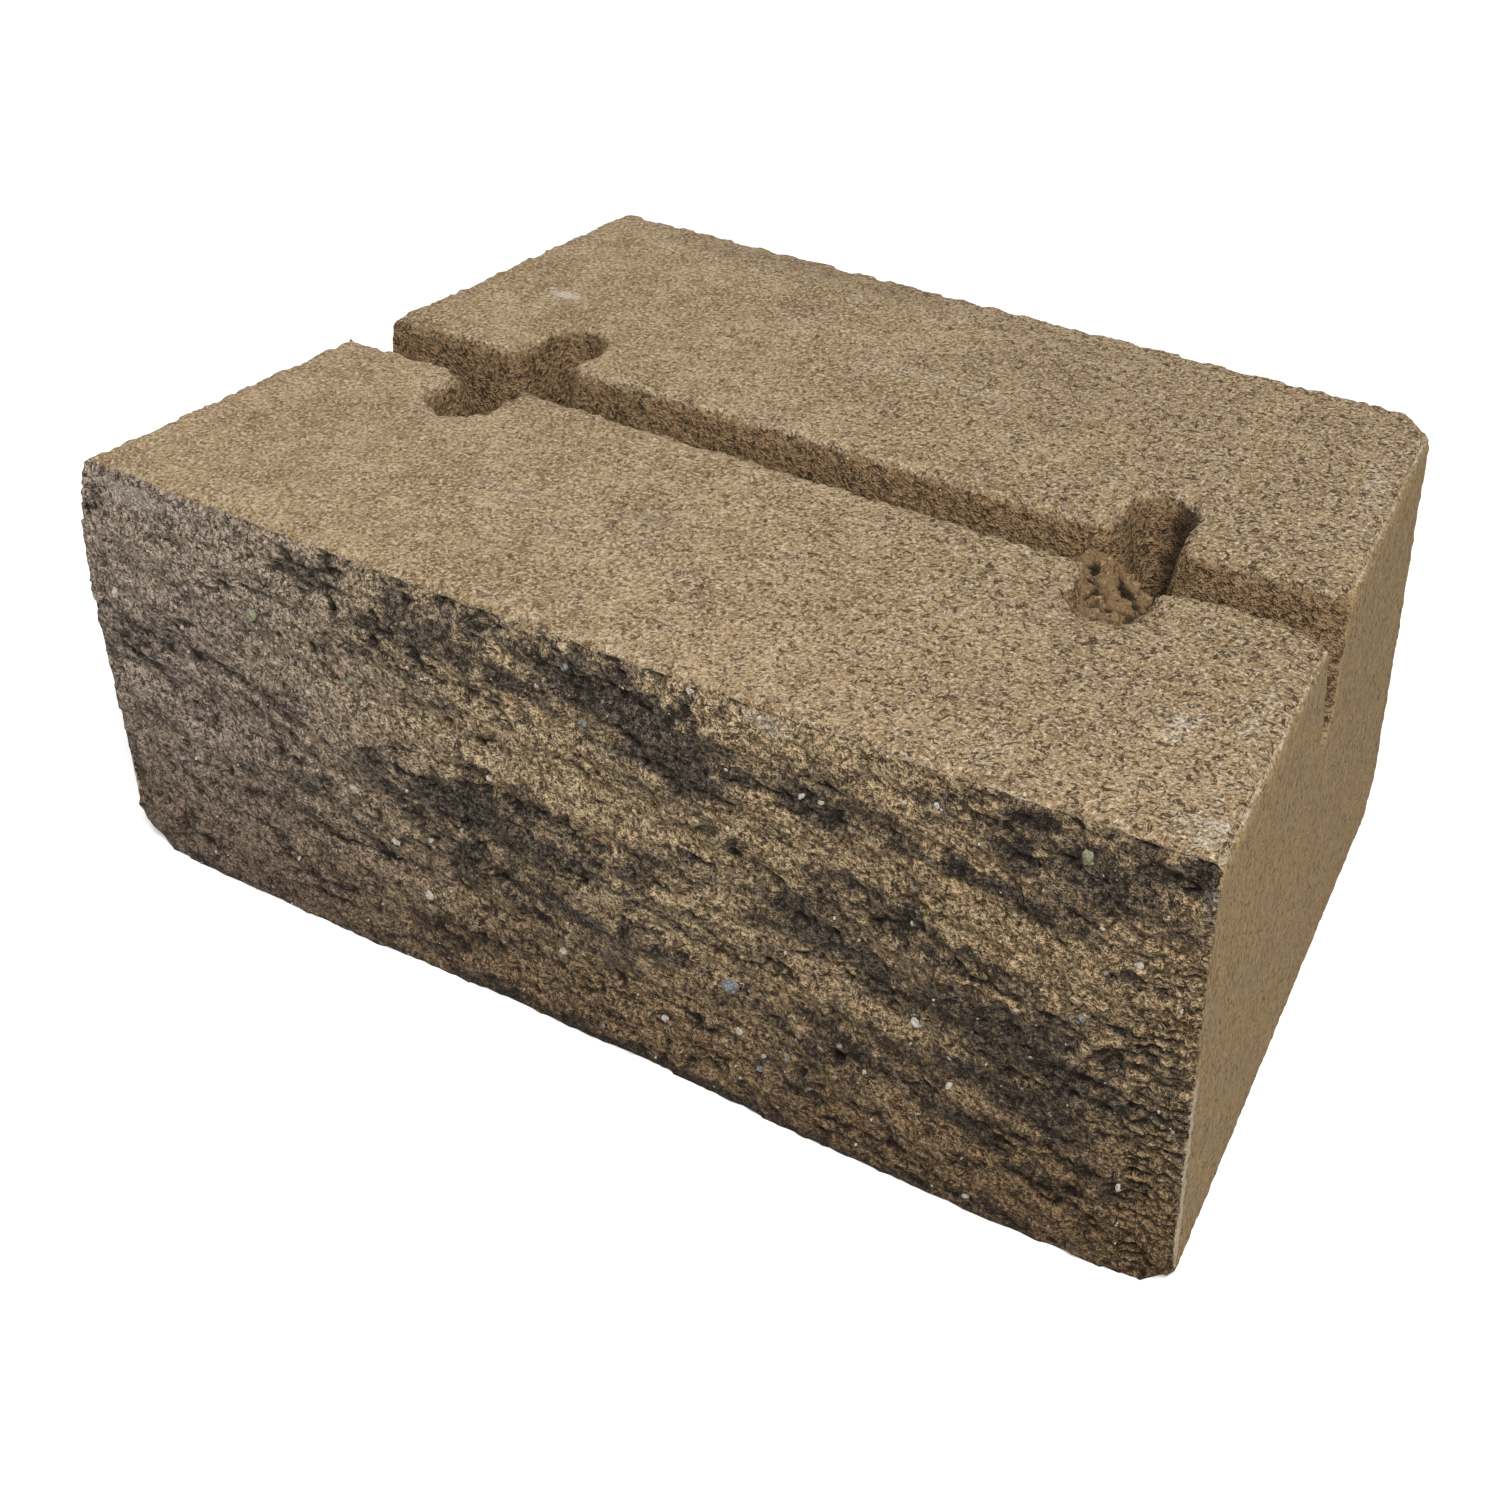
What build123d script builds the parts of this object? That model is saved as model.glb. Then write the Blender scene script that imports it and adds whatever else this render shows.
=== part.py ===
from build123d import *
import os
from math import cos, exp, pi, radians, sin, tan, tanh

# Retaining wall block: one dry-cast concrete unit, wider at its split front than at its back.
# Frame: +X along the wall to the right, +Y into the bank, +Z up.
# The origin lies on the bed face, in the middle of the block's nominal width and depth.

# Overall sizes, millimetres and degrees
block_height = 152.4
block_depth = 254.0
front_width = 406.4
side_angle = 8.5

# Back corners: one is broken off at the side of the mould, the other only softened
right_back_chamfer = 11.0
left_back_radius = 4.0
top_arris_radius = 2.5
bed_arris_radius = 1.5

# Split front face: its top edge bows forward, it swells below that edge and leans out to its foot
face_bow = 4.0
face_shoulder = 5.0
shoulder_reach = 14.0
face_lean = 9.6
face_end_reach = 14.0
face_end_share = 0.6
face_bulge = 2.0
face_wave = 2.0
foot_wave = 1.2
face_columns = 33
face_rows = 15
face_stock = 30.0

# Groove across the top bed, open at both sides, its lips flared at the right mouth
groove_width = 20.0
groove_depth = 44.0
groove_from_front = 123.5
draft_angle = 11.0
front_flare_radius = 26.0
front_flare_length = 16.0
rear_flare_radius = 20.0
rear_flare_length = 12.0
lip_bevel = 1.5

# Pockets that cross the groove, one on each side, parallel to the sides of the block
pocket_side_inset = 66.8
pocket_front_radius = 12.0
pocket_rear_radius = 10.5
pocket_front_reach = 37.0
pocket_rear_reach = 38.0
pocket_corner_radius = 6.5

# Slumped concrete that set in the front end of the right pocket
slump_depth = 6.0
slump_crown_radius = 12.0
slump_foot_radius = 26.0
slump_setback = 4.5

# Broken bed corners: how far each break reaches along the block's width, depth and height
left_front_break = (13.0, 10.0, 13.0)
right_front_break = (8.0, 8.0, 16.0)
right_back_break = (7.0, 9.0, 15.0)

# Places that follow from the sizes above
front_y = -block_depth / 2
back_y = block_depth / 2
top_z = block_height
half_front = front_width / 2
side_slope = tan(radians(side_angle))
groove_y = front_y + groove_from_front
groove_front_y = groove_y - groove_width / 2
groove_rear_y = groove_y + groove_width / 2
pocket_front_y = groove_y - pocket_front_reach + pocket_front_radius
pocket_rear_y = groove_y + pocket_rear_reach - pocket_rear_radius


def half_width(y):
    """Half of the block's width at a place along its depth."""
    return half_front - (y - front_y) * side_slope


pocket_front_from_centre = half_width(pocket_front_y) - pocket_side_inset
pocket_rear_from_centre = half_width(pocket_rear_y) - pocket_side_inset


def face_forward(x, z):
    """How far the split face stands in front of the block's nominal front at one point."""
    across = x / half_front
    up = z / block_height
    end = exp(-((half_front - abs(x)) / face_end_reach) ** 2)
    belly = sin(pi * min(max(up, 0.0), 1.0))
    bow = face_bow * (1 - across**2) * up
    shoulder = face_shoulder * tanh((block_height - z) / shoulder_reach)
    lean = (face_lean - face_shoulder) * (1 - up) * (1 - face_end_share * end)
    bulge = face_bulge * exp(-((across + 1.0) / 0.45) ** 2 - ((up - 0.7) / 0.25) ** 2)
    slow_wave = face_wave * belly * sin(2 * pi * (0.8 * across + 0.55 * up) + 0.6)
    quick_wave = 0.5 * face_wave * belly * cos(2 * pi * (1.7 * across - 0.8 * up) + 1.1)
    foot = foot_wave * (1 - up) * cos(2 * pi * 0.81 * across + 0.25)
    return bow + shoulder + lean + bulge + (slow_wave + quick_wave) * (1 - end) - foot


def cast_body():
    """The cast wedge before splitting, longer than the finished block at its front."""
    stock_y = front_y - face_stock
    plan = Polygon(
        (-half_width(stock_y), stock_y),
        (half_width(stock_y), stock_y),
        (half_width(back_y), back_y),
        (-half_width(back_y), back_y),
        align=None,
    )
    body = extrude(plan, block_height)
    upright = body.edges().filter_by(Axis.Z).group_by(Axis.Y)[-1].sort_by(Axis.X)
    body = chamfer(upright[-1], right_back_chamfer)
    upright = body.edges().filter_by(Axis.Z).group_by(Axis.Y)[-1].sort_by(Axis.X)
    body = fillet(upright[0], left_back_radius)
    top_edges = body.faces().sort_by(Axis.Z)[-1].edges()
    body = fillet(top_edges, top_arris_radius)
    bed_edges = body.faces().sort_by(Axis.Z)[0].edges()
    return fillet(bed_edges, bed_arris_radius)


def split_waste():
    """What the splitter breaks off: everything in front of the split face."""
    margin = face_stock
    reach_x = half_width(front_y - face_stock) + margin
    points = []
    for column in range(face_columns):
        x = -reach_x + 2 * reach_x * column / (face_columns - 1)
        line = []
        for row in range(face_rows):
            z = -margin + (block_height + 2 * margin) * row / (face_rows - 1)
            line.append((x, front_y - face_forward(x, z), z))
        points.append(line)
    face = Face.make_surface_from_array_of_points(points)
    return Solid.extrude(face, Vector(0, -3 * face_stock, 0))


def pocket_plan(side):
    """Plan of one pocket: two round ends and the straight flanks that touch both."""
    front_end = Pos(side * pocket_front_from_centre, pocket_front_y) * Circle(pocket_front_radius)
    rear_end = Pos(side * pocket_rear_from_centre, pocket_rear_y) * Circle(pocket_rear_radius)
    return make_hull(front_end.edges() + rear_end.edges())


def exit_flare(lip_y, outward, radius, length):
    """Plan of the curve that opens one lip of the groove at the right side of the block."""
    arc_x = half_width(lip_y) - length
    arc_y = lip_y + outward * radius
    mouth = Rectangle(
        half_front - arc_x + groove_depth,
        radius + groove_width / 2,
        align=(Align.MIN, Align.MIN if outward < 0 else Align.MAX),
    )
    return Pos(arc_x, arc_y) * mouth - Pos(arc_x, arc_y) * Circle(radius)


def recess_plan():
    """Plan of the whole recess in the top bed: groove, right mouth and both pockets."""
    plan = Pos(0, groove_y) * Rectangle(front_width + 2 * groove_depth, groove_width)
    plan += exit_flare(groove_front_y, -1, front_flare_radius, front_flare_length)
    plan += exit_flare(groove_rear_y, 1, rear_flare_radius, rear_flare_length)
    for side in (-1, 1):
        plan += pocket_plan(side)
    pocket_limit = pocket_front_from_centre + 2 * pocket_front_radius
    corners = []
    for vertex in plan.vertices():
        on_lip = abs(abs(vertex.Y - groove_y) - groove_width / 2) < 0.01
        if on_lip and abs(vertex.X) < pocket_limit:
            corners.append(vertex)
    return fillet(corners, pocket_corner_radius)


def slump():
    """Concrete that set as a heap in the front end of the right pocket."""
    height = groove_depth - slump_depth
    heap = Cone(slump_foot_radius, slump_crown_radius, height)
    heap_z = top_z - slump_depth - height / 2
    return Pos(pocket_front_from_centre, pocket_front_y - slump_setback, heap_z) * heap


def recess():
    """The space that the mould's core leaves: drafted walls and bevelled lips."""
    plan = recess_plan()
    core = extrude(Pos(0, 0, top_z) * plan, groove_depth, dir=(0, 0, -1), taper=draft_angle)
    lips = extrude(Pos(0, 0, top_z - lip_bevel) * plan, lip_bevel, dir=(0, 0, 1), taper=-45)
    return core - slump() + lips


def corner_break(corner, toward, reach):
    """Waste that a plane cuts off one corner, from how far it reaches along each edge."""
    ends = []
    for index in range(3):
        shift = [0.0, 0.0, 0.0]
        shift[index] = toward[index] * reach[index]
        ends.append(Vector(*corner) + Vector(*shift))
    across = ends[1] - ends[0]
    normal = across.cross(ends[2] - ends[0])
    if normal.dot(Vector(*toward)) > 0:
        normal = -normal
    cut_plane = Plane(origin=ends[0], x_dir=across, z_dir=normal)
    size = 6 * max(reach)
    return cut_plane * Box(size, size, size, align=(Align.CENTER, Align.CENTER, Align.MIN))


def block():
    """The finished block."""
    left_face_y = front_y - face_forward(-half_front, 0)
    right_face_y = front_y - face_forward(half_front, 0)
    body = cast_body() - split_waste() - recess()
    body -= corner_break(
        (-half_width(left_face_y), left_face_y, 0), (1, 1, 1), left_front_break
    )
    body -= corner_break(
        (half_width(right_face_y), right_face_y, 0), (-1, 1, 1), right_front_break
    )
    body -= corner_break(
        (half_width(back_y) - right_back_chamfer / 2, back_y, 0), (-1, -1, 1), right_back_break
    )
    return body.solid()


os.makedirs("parts", exist_ok=True)
export_step(block(), "parts/block.step")
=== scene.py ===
# %% [markdown]
# # A retaining wall block in dry-cast concrete
# The real block is one lump of nearly dry concrete, pressed in a steel mould, pushed out,
# cured, and then broken in two along a line. So it has four kinds of skin: a pressed top,
# walls that slid along steel, the rough inside of the groove, and a broken front.
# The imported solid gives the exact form. This script adds the skins.

import math
from types import SimpleNamespace

import bmesh
import bpy
import numpy as np
from mathutils import Matrix, Vector
from mathutils.bvhtree import BVHTree


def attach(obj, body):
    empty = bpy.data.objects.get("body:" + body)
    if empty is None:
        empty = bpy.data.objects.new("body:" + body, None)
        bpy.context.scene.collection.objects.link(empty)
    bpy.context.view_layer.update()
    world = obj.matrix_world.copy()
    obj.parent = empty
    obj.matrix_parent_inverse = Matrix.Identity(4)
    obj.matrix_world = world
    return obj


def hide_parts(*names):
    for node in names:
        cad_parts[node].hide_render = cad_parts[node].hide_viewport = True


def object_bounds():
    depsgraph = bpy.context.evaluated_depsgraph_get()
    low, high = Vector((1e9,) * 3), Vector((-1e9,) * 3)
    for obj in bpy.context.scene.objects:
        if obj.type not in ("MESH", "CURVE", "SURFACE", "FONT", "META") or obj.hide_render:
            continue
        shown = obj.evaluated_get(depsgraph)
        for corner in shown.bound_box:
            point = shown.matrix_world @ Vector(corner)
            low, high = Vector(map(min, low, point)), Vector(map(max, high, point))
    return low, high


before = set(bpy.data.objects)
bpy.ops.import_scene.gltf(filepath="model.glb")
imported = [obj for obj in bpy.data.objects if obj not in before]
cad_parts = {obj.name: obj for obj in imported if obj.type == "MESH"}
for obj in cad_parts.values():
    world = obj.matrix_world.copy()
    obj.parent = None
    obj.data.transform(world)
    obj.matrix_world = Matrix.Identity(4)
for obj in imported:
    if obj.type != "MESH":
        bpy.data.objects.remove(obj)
cad_low, cad_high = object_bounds()
MM = 0.001
print("solid from", tuple(cad_low), "to", tuple(cad_high))

# %% [markdown]
# ## Driving sizes
# The block is a 16 by 10 by 6 inch unit. Its front is split, its sides run back at 8.5
# degrees, and a V-shaped groove and two slanted pockets cross the top. The form itself
# comes from the frame. The numbers below only tell one skin from another and place marks.

# %% Sizes of the block
FRONT_WIDTH = 406.4 * MM
BLOCK_DEPTH = 254.0 * MM
SIDE_SLOPE = math.tan(math.radians(8.5))
TOP_Z = cad_high.z
BACK_Y = cad_high.y
FRONT_Y = BACK_Y - BLOCK_DEPTH
GROOVE_Y = FRONT_Y + 123.5 * MM
GROOVE_DEPTH = 44.0 * MM
POCKET_REACH = 45.0 * MM
HEAP_X, HEAP_Y = 121.7 * MM, GROOVE_Y - 28.0 * MM


def half_width(at_y):
    """Half of the block's width at one place along its depth."""
    return FRONT_WIDTH / 2 - (at_y - FRONT_Y) * SIDE_SLOPE


# %% [markdown]
# ## A skin with small, even faces
# The solid's flat faces are a few long triangles, and nothing can be carved into those.
# A subdivision would keep the slivers, so the copy is remeshed on a grid of small cubes
# instead. That also rounds each edge by about one cube, as a handled block's edges are.

# %% Remesh a copy of the solid
VOXEL = 1.0 * MM


def swap_mesh(thing):
    """Replace an object's mesh by its modified one and drop the modifiers."""
    graph = bpy.context.evaluated_depsgraph_get()
    mesh = bpy.data.meshes.new_from_object(thing.evaluated_get(graph))
    thing.modifiers.clear()
    thing.data = mesh


def new_object(name, mesh):
    """Put a mesh in the scene under a name."""
    thing = bpy.data.objects.new(name, mesh)
    bpy.context.scene.collection.objects.link(thing)
    return thing


def merged_copy(node, name):
    """A copy of a node of the frame, with its loose triangles joined."""
    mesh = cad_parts[node].data.copy()
    work = bmesh.new()
    work.from_mesh(mesh)
    bmesh.ops.remove_doubles(work, verts=work.verts, dist=0.001 * MM)
    work.to_mesh(mesh)
    work.free()
    return new_object(name, mesh)


block = merged_copy("block", "cast_block")
remesh = block.modifiers.new("even skin", "REMESH")
remesh.mode = "VOXEL"
remesh.voxel_size = VOXEL
swap_mesh(block)
print("skin:", len(block.data.vertices), "points")

# %% [markdown]
# ## Which skin is where
# Each point gets a weight for the skin it belongs to, worked out from its place and from
# the way it faces. Weights on the points, and not on the faces, let one skin fade into the
# next over a millimetre or two, as the real edges do.


# %% Helpers for points
def smooth(low, high, value):
    """0 at low, 1 at high, and a smooth change between them."""
    t = np.clip((value - low) / (high - low), 0.0, 1.0)
    return t * t * (3.0 - 2.0 * t)


def read_points(mesh):
    """Places and normals of a mesh's points, as two arrays."""
    count = len(mesh.vertices)
    place = np.empty(count * 3, dtype=np.float32)
    facing = np.empty(count * 3, dtype=np.float32)
    mesh.vertices.foreach_get("co", place)
    mesh.vertex_normals.foreach_get("vector", facing)
    return place.reshape(-1, 3), facing.reshape(-1, 3)


def keep_in_box(mesh):
    """Move any point that left the solid's own box back onto it."""
    place = read_points(mesh)[0]
    place = np.clip(place, np.array(cad_low), np.array(cad_high))
    mesh.vertices.foreach_set("co", place.astype(np.float32).ravel())
    mesh.update()


def write_weight(mesh, name, values):
    """Store one number for each point under a name."""
    layer = mesh.attributes.new(name, "FLOAT", "POINT")
    layer.data.foreach_set("value", np.asarray(values, dtype=np.float32))


# %% Weights for the skins
# The part of a normal along one axis at which a skin begins, and at which it is full
SPLIT_FACING = (0.3, 0.6)
BED_FACING = (0.6, 0.85)
CORE_FACING = (0.4, 0.7)
HEAP_FACING = (0.15, 0.5)
# How far a skin reaches: back from the front, down from the top, and in from a side wall
SPLIT_BAND = 5.0 * MM
BED_BAND = 3.0 * MM
CORE_BAND = (2.0 * MM, 4.0 * MM)
CORE_MARGIN = 2.0 * MM
# Where the heap ends and where it is full, from its middle and from the top
HEAP_REACH = (26.0 * MM, 18.0 * MM)
HEAP_DROP = (30.0 * MM, 20.0 * MM)

place, facing = read_points(block.data)
x, y, z = place.T
below_top = TOP_Z - z
side_gap = half_width(y) - np.abs(x)
split = smooth(*SPLIT_FACING, -facing[:, 1]) * (y < FRONT_Y + SPLIT_BAND)
bed = smooth(*BED_FACING, facing[:, 2]) * (below_top < BED_BAND) * (1 - split)
by_groove = (np.abs(y - GROOVE_Y) < POCKET_REACH) & (below_top < GROOVE_DEPTH + CORE_MARGIN)
inwards = np.maximum(smooth(*CORE_BAND, side_gap), smooth(*CORE_FACING, np.abs(facing[:, 1])))
core = by_groove * inwards * (1 - bed) * (1 - split)
from_heap = np.hypot(x - HEAP_X, y - HEAP_Y)
heap = core * smooth(*HEAP_REACH, from_heap) * smooth(*HEAP_FACING, facing[:, 2])
heap *= smooth(*HEAP_DROP, below_top)
SKINS = {"wall": np.clip(1 - core - split - bed, 0, 1), "bed": bed, "core": core, "split": split}
for name, values in SKINS.items():
    write_weight(block.data, name, values)
    print(name, "covers", round(float(values.mean()) * 100), "% of the points")
write_weight(block.data, "heap", heap)

# %% [markdown]
# ## Charcoal streaks and pale bloom
# Two colours of concrete are dropped into one mould and only half mixed, so charcoal runs
# through the tan in slanted clouds. Each is set down here as a soft ellipse: where its
# middle is, how far it reaches, and how it leans. The shader breaks up its edges later.
# Lime and dirt that dried on the block are set down in the same way, and so is painted shade on a
# few pocket walls.


# %% Soft ellipses on a face
def clouds(across, along, ellipses):
    """Sum of soft ellipses: middle, reach along and across its own axis, lean, strength."""
    total = np.zeros(len(across), dtype=np.float64)
    for middle_x, middle_z, reach, breadth, lean, strength in ellipses:
        turn = math.radians(lean)
        dx = across / MM - middle_x
        dz = along / MM - middle_z
        u = (dx * math.cos(turn) + dz * math.sin(turn)) / reach
        v = (-dx * math.sin(turn) + dz * math.cos(turn)) / breadth
        total += strength * np.exp(-(u * u + v * v))
    return total


# %% Marks on the broken front
# x, z in mm on the split face, then reach, breadth, lean in degrees and strength
CHARCOAL = [
    (-104, 142, 10, 4, -10, 0.5), (-50, 138, 34, 8, -8, 0.7), (4, 139, 36, 11, -8, 1.0),
    (34, 130, 22, 9, -22, 0.9), (80, 128, 28, 7, -8, 1.0), (168, 140, 42, 13, 0, 0.8),
    (112, 101, 22, 7, -8, 0.9), (82, 84, 42, 12, -4, 0.7), (160, 68, 42, 20, -4, 1.0),
    (-50, 80, 30, 9, 6, 0.9), (-16, 74, 36, 12, -4, 0.8), (-122, 88, 18, 9, 10, 0.7),
    (-182, 88, 30, 18, 0, 0.35), (-20, 52, 46, 9, 4, 0.7), (-124, 52, 34, 12, 0, 0.4),
    (120, 40, 70, 16, 0, 0.5), (0, 4, 210, 8, 0, 0.3), (40, 0, 95, 4, 0, 1.0),
    (-96, 75, 26, 7, 20, 0.4),
    (-62, 119, 26, 7, -14, 0.5), (-40, 112, 20, 5, -16, 0.5), (150, 122, 30, 5, -14, 0.7),
    (-196, 110, 8, 22, 0, 0.25), (-60, 22, 60, 9, 0, 0.3),
]
TAN = [
    (-160, 134, 46, 20, 0, 0.7), (-86, 100, 42, 9, 6, 0.8), (-8, 106, 54, 10, -8, 1.0),
    (92, 113, 30, 6, -6, 0.8), (158, 106, 40, 9, -10, 1.0), (48, 78, 12, 6, 0, 0.6),
    (-62, 34, 34, 8, 0, 0.4), (20, 26, 40, 8, 0, 0.3), (-150, 30, 40, 14, 0, 0.3),
    (64, 142, 20, 5, -6, 0.8), (124, 136, 16, 5, -6, 0.5),
]
DUSTY = [
    (-184, 146, 19, 5, -3, 1.3), (-152, 146, 20, 4, -3, 0.9), (-118, 148, 16, 2, 0, 0.4),
    (-66, 148, 12, 3, 0, 0.6), (-30, 149, 16, 3, 0, 0.6), (66, 148, 16, 4, 0, 1.1),
    (112, 147, 24, 5, 0, 0.4), (202, 142, 6, 12, 0, 0.9), (-126, 121, 9, 5, 10, 0.5),
    (-80, 111, 13, 6, -20, 0.5), (-190, 40, 50, 40, 0, 0.3), (-170, 95, 40, 40, 0, 0.25),
]

# %% Marks on the top bed and in the pockets
# x, y in mm on the top bed
BLOOM = [
    (-140, 53, 7, 3, 0, 1.4), (10, 64, 52, 8, 0, 0.5), (-52, 74, 18, 6, 0, 0.4),
    (165, 72, 7, 50, 8, 0.6), (-10, -82, 48, 14, 0, 0.35), (168, -77, 9, 14, 0, 0.6),
    (194, -118, 10, 12, 0, 0.55), (-60, -122, 90, 4, 0, 0.4), (120, -122, 60, 3, 0, 0.3),
    (-90, -70, 70, 18, 0, 0.35), (186, -70, 6, 50, 8, 0.5), (40, -14, 60, 3, 0, 0.4),
]
STAIN = [
    (-70, 118, 90, 9, 0, 0.7), (-20, -62, 14, 5, 0, 0.6), (60, 60, 60, 26, 0, 0.25),
    (60, 112, 50, 8, 0, 0.35), (-120, -60, 40, 20, 0, 0.15), (110, -60, 60, 50, 0, 0.3),
    (40, 90, 90, 18, 0, 0.3),
]
# x, y in mm in the pockets: painted shade on walls that face away from the light
POCKET_SHADE = [(121, 30, 8, 9, 0, 1.2), (115, 20, 5, 8, 20, 0.7), (-112, 31, 8, 5, 0, 0.5)]

# %% Store the marks
TAN_SHARE = 0.8
# The pale nose at the ends of the front: how near the side wall, and up to what height
NOSE_BAND = (2.5 * MM, 0.5 * MM)
NOSE_RISE = (100.0 * MM, 70.0 * MM)
MARKS = {
    "damp": clouds(x, y, POCKET_SHADE),
    "charcoal": clouds(x, z, CHARCOAL) - TAN_SHARE * clouds(x, z, TAN),
    "dusty": clouds(x, z, DUSTY),
    "bloom": clouds(x, y, BLOOM),
    "stain": clouds(x, y, STAIN),
    "nose": smooth(*NOSE_BAND, side_gap) * (y < FRONT_Y) * smooth(*NOSE_RISE, z),
}
for name, values in MARKS.items():
    write_weight(block.data, name, values)
    print(name, "goes from", round(float(values.min()), 2), "to", round(float(values.max()), 2))

# %% [markdown]
# ## Building node trees
# Shader trees and geometry trees are built in the same way, so one small function serves
# both: it adds a node, changes its settings, and sets or links its inputs. A colour is
# written as six hex digits, as a paint chart gives it.


# %% One helper for nodes
def colour(code):
    """A colour written as six hex digits of sRGB, as the linear values that Blender wants."""
    parts = [int(code[i:i + 2], 16) / 255 for i in (1, 3, 5)]
    linear = [c / 12.92 if c <= 0.04045 else ((c + 0.055) / 1.055) ** 2.4 for c in parts]
    return (*linear, 1.0)


def put(tree, kind, inputs=None, result=None, **settings):
    """Add a node, change its settings, set or link its inputs, and give it or one output."""
    node = tree.nodes.new(kind)
    for name, value in settings.items():
        setattr(node, name, value)
    for name, value in (inputs or {}).items():
        if isinstance(value, bpy.types.NodeSocket):
            tree.links.new(value, node.inputs[name])
        elif isinstance(value, str) and value.startswith("#"):
            node.inputs[name].default_value = colour(value)
        else:
            node.inputs[name].default_value = value
    return node if result is None else node.outputs[result]


def open_tree(name, wanted):
    """A geometry tree with its named inputs, and the sockets that bring them in."""
    tree = bpy.data.node_groups.new(name, "GeometryNodeTree")
    tree.interface.new_socket("Geometry", in_out="INPUT", socket_type="NodeSocketGeometry")
    kinds = {float: "NodeSocketFloat", int: "NodeSocketInt", str: "NodeSocketString",
             tuple: "NodeSocketVector"}
    for label, value in wanted.items():
        socket = tree.interface.new_socket(label, in_out="INPUT", socket_type=kinds[type(value)])
        socket.default_value = value
    tree.interface.new_socket("Geometry", in_out="OUTPUT", socket_type="NodeSocketGeometry")
    return tree, put(tree, "NodeGroupInput").outputs


def run_tree(thing, tree, values):
    """Run a geometry tree on an object with some inputs changed, and keep the plain mesh."""
    modifier = thing.modifiers.new(tree.name, "NODES")
    modifier.node_group = tree
    for item in tree.interface.items_tree:
        if item.in_out == "INPUT" and item.name in values:
            modifier[item.identifier] = values[item.name]
    swap_mesh(thing)


def close_tree(tree, geometry, finish):
    """End a tree: make instances real, give all of it one finish, and send it out."""
    plain = put(tree, "GeometryNodeRealizeInstances", {0: geometry}, 0)
    done = put(tree, "GeometryNodeSetMaterial", {"Geometry": plain, "Material": finish}, 0)
    put(tree, "NodeGroupOutput", {"Geometry": done})


def one_finish(mesh, finish):
    """Leave one finish on a mesh, because a tree can leave an empty slot before its own."""
    mesh.materials.clear()
    mesh.materials.append(finish)
    mesh.polygons.foreach_set("material_index", [0] * len(mesh.polygons))


# %% [markdown]
# ## The concrete
# All of the block is one concrete: sand, fine gravel, cement and iron oxide. It is matt
# everywhere, with no gloss at all. What differs is how each skin was made, so each gets a
# material of its own, and all start from the same sand. A cell pattern would look like
# scales, so the sand is noise at the size of its grains, and the short curly cracks
# between clumps are thin lines where a slower noise crosses its middle value.
# A noise keeps near a half: most of it lies between 0.35 and 0.65. So those are the levels
# between which one colour gives way to the next. The weights are read from the points:
# those above, and two that the carving stores, the depth of a hollow and the nearness of
# an edge, or arris.


# %% Sand for every concrete
def sand(tree, size, *stored):
    """Sand of one size: place, two tones, curly cracks and dust, and the stored weights."""
    where = put(tree, "ShaderNodeTexCoord", result="Object")
    noise = put(tree, "ShaderNodeTexNoise", {
        "Vector": where, "Scale": 1 / size, "Detail": 2.0, "Roughness": 0.65,
        "Distortion": 0.2}, "Color")
    tones = put(tree, "ShaderNodeSeparateColor", {0: noise}).outputs
    slow = put(tree, "ShaderNodeTexNoise", {
        "Vector": where, "Scale": 0.45 / size, "Detail": 2.0, "Roughness": 0.6,
        "Distortion": 0.6}, "Color")
    slow = put(tree, "ShaderNodeSeparateColor", {0: slow}).outputs
    middle = put(tree, "ShaderNodeMath", {0: slow[0], 1: 0.5}, 0, operation="SUBTRACT")
    middle = put(tree, "ShaderNodeMath", {0: middle}, 0, operation="ABSOLUTE")
    line = put(tree, "ShaderNodeMapRange", {0: middle, 1: 0.07, 2: 0.02}, 0,
               interpolation_type="SMOOTHSTEP")
    short = put(tree, "ShaderNodeMapRange", {0: slow[1], 1: 0.5, 2: 0.58}, 0)
    crack = put(tree, "ShaderNodeMath", {0: line, 1: short}, 0, operation="MULTIPLY")
    dust = put(tree, "ShaderNodeTexNoise", {
        "Vector": where, "Scale": 1 / (0.7 * MM), "Detail": 1.0}, 0)
    weights = {name: put(tree, "ShaderNodeAttribute", result="Fac", attribute_name=name)
               for name in stored}
    return SimpleNamespace(where=where, grain=tones[0], other=tones[1], crack=crack, dust=dust,
                           **weights)


def blend(tree, amount, low, high, base, other, most=1.0, mode="MIX"):
    """Lay one colour over another where an amount rises from low to high."""
    share = put(tree, "ShaderNodeMapRange", {0: amount, 1: low, 2: high, 3: 0.0, 4: most}, 0,
                interpolation_type="SMOOTHSTEP")
    return put(tree, "ShaderNodeMix", {0: share, 6: base, 7: other}, 2, data_type="RGBA",
               blend_type=mode)


def new_material(name):
    """An empty material, ready for a surface."""
    material = bpy.data.materials.new(name)
    material.use_nodes = True
    material.node_tree.nodes.clear()
    return material, material.node_tree


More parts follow.
